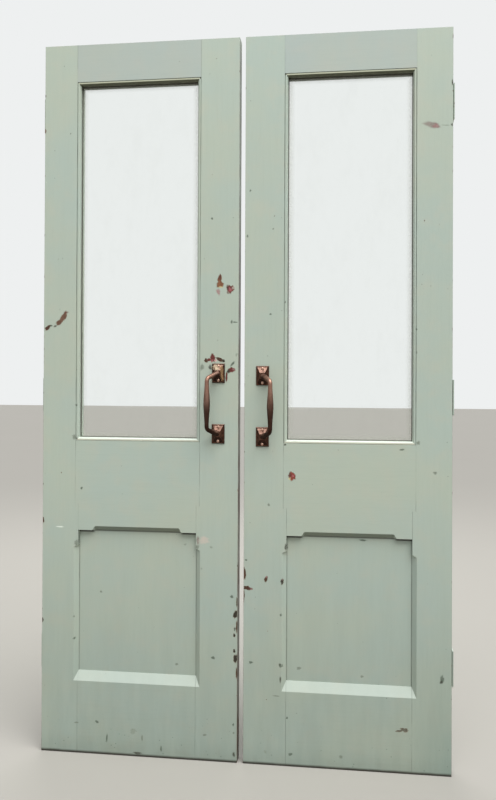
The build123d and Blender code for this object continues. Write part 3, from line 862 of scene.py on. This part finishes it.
# x, z, width, height in millimetres, tilt in degrees, and what shows. x is below 0 on the left leaf.
photo_marks = (
    # right leaf, hinge stile
    (546, 1856, 54, 22, -8, "smear"),
    (558, 1852, 28, 16, -6, "mauve"),
    (585, 1853, 34, 4, -2, "faint"),
    (603, 1854, 9, 9, 0, "soot"),
    (604, 1975, 6, 24, 0, "soot"),
    (505, 1270, 6, 8, 0, "spot"),
    (506, 1204, 5, 9, 0, "stain"),
    (558, 860, 14, 11, 10, "stain"),
    (579, 275, 13, 30, -8, "spot"),
    (577, 266, 10, 12, 0, "soot"),
    (459, 121, 18, 7, 4, "slate"),
    (474, 125, 24, 12, -10, "slate"),
    # right leaf, meeting stile and its arris
    (24, 1680, 7, 8, 0, "spot"),
    (16, 1546, 7, 10, 0, "spot"),
    (92, 1566, 7, 7, 0, "stain"),
    (85, 1316, 8, 8, 0, "spot"),
    (82, 758, 10, 10, 0, "stain"),
    (106, 202, 24, 5, 0, "stain"),
    (16, 595, 9, 7, 10, "spot"),
    (11, 556, 9, 44, 4, "umber"),
    (19, 513, 28, 13, -6, "umber"),
    (24, 513, 15, 9, -6, "bruise"),
    (32, 511, 9, 8, 0, "mauve"),
    (9, 488, 6, 44, 0, "umber"),
    (75, 541, 9, 21, -14, "umber"),
    (76, 547, 6, 9, 0, "mauve"),
    (122, 535, 9, 18, -6, "dark"),
    (123, 541, 7, 8, 0, "smear"),
    (119, 438, 9, 11, -20, "spot"),
    (31, 296, 14, 11, 0, "spot"),
    (119, 291, 17, 14, 0, "spot"),
    (116, 293, 7, 6, 0, "soot"),
    (118, 250, 7, 23, 4, "soot"),
    (138, 140, 8, 8, 0, "spot"),
    (148, 35, 15, 11, 8, "spot"),
    # right leaf, rails and panel
    (150, 843, 24, 23, 0, "primer"),
    (143, 846, 10, 20, 0, "plum"),
    (153, 844, 9, 8, 0, "rose"),
    (143, 836, 12, 8, 20, "cream"),
    (171, 281, 16, 12, 0, "stain"),
    (355, 660, 26, 7, 0, "spot"),
    (465, 925, 17, 7, 0, "spot"),
    # This stain paints the shadow at the lower end of the hinge-side bead.
    (511, 945, 12, 16, 0, "stain"),
    (294, 37, 14, 11, 0, "stain"),
    (75, 38, 12, 12, 0, "faint"),
    (354, 266, 13, 9, -10, "stain"),
    (133, 636, 10, 26, 0, "soot"),
    # right leaf, beads
    (127, 2019, 5, 5, 0, "dark"),
    (129.5, 934.6, 10, 7, 0, "soot"),
    (128, 1351, 4, 10, 0, "soot"),
    # left leaf, hinge stile
    (-544, 1312, 17, 32, -28, "timber"),
    (-556, 1296, 14, 30, -44, "timber"),
    (-537, 1325, 17, 9, 0, "plum"),
    (-571, 1283, 12, 8, 0, "soot"),
    (-594, 1279, 12, 22, -56, "umber"),
    (-597, 1275, 9, 9, 0, "bruise"),
    (-583, 1285, 10, 7, 0, "spot"),
    (-503, 1045, 9, 10, 0, "spot"),
    (-485, 795, 9, 11, 0, "spot"),
    (-552, 677, 28, 6, 0, "pale"),
    (-500, 630, 17, 24, -20, "stain"),
    (-506, 342, 11, 9, 30, "spot"),
    (-507, 408, 8, 8, 0, "stain"),
    (-605, 697, 8, 18, 0, "umber"),
    (-605, 394, 7, 16, 0, "dark"),
    (-606, 1984, 5, 10, 0, "dark"),
    (-606, 1876, 7, 18, 0, "timber"),
    (-497, 90, 17, 7, 0, "stain"),
    (-507, 949, 22, 17, 0, "stain"),
    (-501, 944, 7, 7, 0, "soot"),
    # left leaf, meeting stile
    (-90, 1600, 8, 9, 0, "spot"),
    (-65, 1405, 20, 22, 0, "orange"),
    (-66, 1422, 12, 26, 0, "orange"),
    (-66, 1425, 12, 22, 0, "plum"),
    (-63, 1397, 17, 6, 0, "cream"),
    (-70, 1383, 13, 26, 4, "mauve"),
    (-34, 1391, 22, 24, 42, "crimson"),
    (-42, 1395, 12, 18, 0, "bruise"),
    (-35, 1389, 13, 14, 0, "rose"),
    (-26, 1394, 9, 12, 0, "pink"),
    (-42, 1380, 9, 9, 0, "plum"),
    (-30, 1294, 7, 15, 0, "spot"),
    (-20, 1293, 20, 5, 0, "spot"),
    (-117, 565, 8, 7, -20, "faint"),
    (-128, 648, 12, 28, 0, "smear"),
    (-110, 649, 40, 28, 0, "pink"),
    (-88, 629, 12, 9, 0, "faint"),
    # This stain paints the shade under the stop of the meeting stile's chamfer.
    (-130, 628, 13, 20, -20, "stain"),
    (-169, 632, 10, 8, 0, "faint"),
    (-26, 486, 11, 13, 0, "spot"),
    (-15, 434, 13, 24, -10, "dark"),
    (-17, 391, 7, 14, 0, "soot"),
    (-18, 373, 7, 12, 0, "dark"),
    (-11, 398, 5, 34, 0, "umber"),
    (-18, 327, 8, 11, 0, "dark"),
    (-14, 305, 14, 26, 0, "dark"),
    (-11, 262, 5, 30, 0, "umber"),
    (-11, 470, 5, 26, 0, "slate"),
    (-81, 304, 16, 10, -20, "spot"),
    (-20, 111, 7, 11, 0, "spot"),
    (-19, 87, 7, 9, 0, "stain"),
    (-18, 24, 9, 19, 0, "soot"),
    # left leaf, the knocks round the upper plate of its handle
    (-106, 1180, 12, 12, 0, "umber"),
    (-98, 1182, 14, 9, 0, "crimson"),
    (-86, 1187, 17, 25, 0, "crimson"),
    (-65, 1183, 25, 11, -22, "umber"),
    (-54, 1179, 10, 9, 0, "dark"),
    # This blush paints a highlight among the knocks above the plate.
    (-78, 1180, 11, 10, 0, "blush"),
    (-88, 1179, 8, 8, 0, "rose"),
    (-94, 1160, 10, 22, 0, "soot"),
    (-44.6, 1132, 6.4, 32, 0, "crimson"),
    (-31, 1152, 24, 16, 12, "crimson"),
    (-39, 1148, 12, 15, 0, "soot"),
    (-23, 1154, 10, 10, 0, "mauve"),
    (-27, 1170, 9, 24, -36, "spot"),
    (-15, 1197, 8, 14, 0, "faint"),
    (-118, 1160, 14, 24, 0, "stain"),
    # left leaf, rails, panel and beads
    (-427, 482, 10, 9, 0, "stain"),
    (-193, 275, 12, 10, 0, "stain"),
    (-433, 96, 15, 10, -15, "spot"),
    (-402, 49, 7, 30, 0, "spot"),
    (-294, 56, 7, 26, 0, "stain"),
    (-322, 74, 26, 20, 20, "faint"),
    (-308, 10, 32, 9, 0, "soot"),
    (-236, 27, 7, 22, 0, "spot"),
    (-105, 76, 14, 9, 0, "stain"),
    (-127, 2019, 4, 4, 0, "dark"),
)

# Paint splashed over the top of the left handle's upper plate, and its metal rubbed bright beside it.
plate_splash = (
    (-76, 1159, 21, 20, 4, "tan"),
    (-58, 1153, 9, 26, 0, "gold"),
    (-57, 1130, 7, 22, 0, "gold"),
)

# The bead pins, in millimetres.
pin_spacing = 185
pin_from_corner = 45
pin_scatter = 9
pin_size = 2.6
bead_middle = 4.4
bead_ends = (938.5, 2021.5)


def bead_pins(marks):
    """The pins that hold the beads, punched in, stopped and painted over."""
    sign = marks.leaf.sign
    low, high = upper_shoulders[0] / MM, upper_shoulders[1] / MM
    bottom, top = bead_ends
    pinned = top - bottom - 2 * pin_from_corner
    steps = round(pinned / pin_spacing)
    for x in (low + bead_middle, high - bead_middle):
        for step in range(steps + 1):
            z = bottom + pin_from_corner + pinned * step / steps
            z += marks.random.uniform(-pin_scatter, pin_scatter)
            marks.add(sign * x, z, pin_size, pin_size, 0, "filled", ragged=0.05)
    for z in (bottom + bead_middle, top - bead_middle):
        for x in (low + pin_from_corner, (low + high) / 2, high - pin_from_corner):
            x += marks.random.uniform(-pin_scatter, pin_scatter)
            marks.add(sign * x, z, pin_size, pin_size, 0, "filled", ragged=0.05)


# The small knocks: whether at the back, how many along the arrises, and how many on the faces.
knock_counts = ((False, 16, 8), (True, 30, 26))
# Their sizes, and the stiles' faces that they lie on, in millimetres.
arris_knock_sizes = (1.6, 4.0)
face_knock_sizes = (1.4, 3.4)
stile_faces = ((20, 118), (512, 596))
# How much larger they are on the back's faces.
back_growth = 1.8
# How tall they are for their width, how high they lie in millimetres, and how far they tilt in degrees.
arris_knock_shapes = (1.2, 3.4)
face_knock_shapes = (0.8, 2.0)
arris_knock_heights = (15, 2115)
face_knock_heights = (30, 2100)
face_knock_tilts = (-30, 30)


def small_knocks(marks):
    """Small knocks along the arrises and a few on the faces, front and back."""
    sign = marks.leaf.sign
    for back, along_edges, on_faces in knock_counts:
        for _ in range(along_edges):
            edge = marks.random.choice((meeting_edge, hinge_edge)) / MM
            size = marks.random.uniform(*arris_knock_sizes)
            kind = marks.random.choice(("timber", "dark", "umber", "dark"))
            z = marks.random.uniform(*arris_knock_heights)
            high = size * marks.random.uniform(*arris_knock_shapes)
            marks.add(sign * edge, z, size, high, 0, kind, back=back)
        for _ in range(on_faces):
            x = marks.random.choice([marks.random.uniform(*face) for face in stile_faces])
            size = marks.random.uniform(*face_knock_sizes) * (back_growth if back else 1)
            kind = marks.random.choice(("timber", "spot", "umber", "stain"))
            z = marks.random.uniform(*face_knock_heights)
            high = size * marks.random.uniform(*face_knock_shapes)
            tilt = marks.random.uniform(*face_knock_tilts)
            marks.add(sign * x, z, size, high, tilt, kind, back=back)


for side in ("left", "right"):
    marks = Marks(side)
    for x, z, wide, high, tilt, kind in photo_marks:
        if (x > 0) == (side == "right"):
            marks.add(x, z, wide, high, tilt, kind)
    if side == "left":
        marks.splashes = [Outline(*splash, marks.random) for splash in plate_splash]
    bead_pins(marks)
    small_knocks(marks)
    marks.finish(side + "_chips_and_marks")


def plain(name, colour, scale):
    """A plain pale finish with hardly visible clouds."""
    material, tree = new_tree(name)
    clouds = noise(tree, object_place(tree), scale, 3)
    lighter = tuple(min(1, part * 1.03) for part in colour[:3]) + (1,)
    surface(name, blend_colours(tree, clouds, colour, lighter), 0.9, None, Specular_IOR_Level=0.1)
    return material


floor_size = 60
floor_drop = 0.0002
floor_mesh = bmesh.new()
bmesh.ops.create_grid(floor_mesh, x_segments=1, y_segments=1, size=floor_size / 2)
floor_data = bpy.data.meshes.new("floor")
floor_mesh.to_mesh(floor_data)
floor_mesh.free()
floor = bpy.data.objects.new("floor", floor_data)
bpy.context.collection.objects.link(floor)
floor.location.z = -floor_drop
floor_data.materials.append(plain("pale_floor", rgb(166, 163, 156), 0.7))

world = bpy.data.worlds.new("studio")
bpy.context.scene.world = world
world.use_nodes = True
sky = world.node_tree
sky.nodes.clear()
seen = []
for ray in ("Is Camera Ray", "Is Glossy Ray", "Is Transmission Ray"):
    seen.append(make(sky, "LightPath", {}, output=ray))
shown = calc(sky, "MAXIMUM", calc(sky, "MAXIMUM", seen[0], seen[1]), seen[2])
soft_light = make(sky, "Background", {"Color": rgb(244, 247, 252), "Strength": 0.41})
backdrop = make(sky, "Background", {"Color": rgb(238, 240, 240), "Strength": 1.0})
mixed = make(sky, "MixShader", {0: shown, 1: soft_light, 2: backdrop})
world_output = sky.nodes.new("ShaderNodeOutputWorld")
sky.links.new(mixed, world_output.inputs[0])


def soft_lamp(name, place, aim, size, power):
    data = bpy.data.lights.new(name, "AREA")
    data.shape = "RECTANGLE"
    data.size, data.size_y = size
    data.energy = power
    lamp = bpy.data.objects.new(name, data)
    lamp.location = place
    lamp.rotation_euler = (Vector(aim) - Vector(place)).to_track_quat("-Z", "Y").to_euler()
    lamp.visible_transmission = False
    bpy.context.collection.objects.link(lamp)
    return lamp


soft_lamp("overhead", place=(0.4, -1.7, 4.0), aim=(0, 0.1, 1.25), size=(3.4, 2.2), power=30)
behind = soft_lamp("behind", place=(-0.6, 3.0, 3.8), aim=(0, 0, 1.0), size=(3.0, 2.0), power=80)
behind.visible_glossy = False

# The sky's brightest part: high, in front and to the right.
sky_lamp = bpy.data.lights.new("bright_sky", "SUN")
sky_lamp.energy = 3.15
sky_lamp.angle = math.radians(50)
bright_sky = bpy.data.objects.new("bright_sky", sky_lamp)
height, turn = math.radians(62), math.radians(35)
level = math.cos(height)
towards_lamp = Vector((math.sin(turn) * level, -math.cos(turn) * level, math.sin(height)))
bright_sky.rotation_euler = towards_lamp.to_track_quat("Z", "Y").to_euler()
bpy.context.collection.objects.link(bright_sky)

# The camera that fits the photo: its place in metres, and its turn in degrees.
camera_data = bpy.data.cameras.new("camera")
camera_data.sensor_fit = "VERTICAL"
camera_data.sensor_height = 24
camera_data.lens = 24
camera_data.shift_x = -0.0015
camera_data.shift_y = -0.0329
camera_data.clip_start = 0.05
camera = bpy.data.objects.new("camera", camera_data)
camera.location = (0.31849, -2.33183, 1.12477)
camera.rotation_euler = Euler([math.radians(angle) for angle in (90.406, -0.252, 7.229)])
bpy.context.collection.objects.link(camera)
bpy.context.scene.camera = camera
bpy.context.scene.view_settings.view_transform = "Standard"
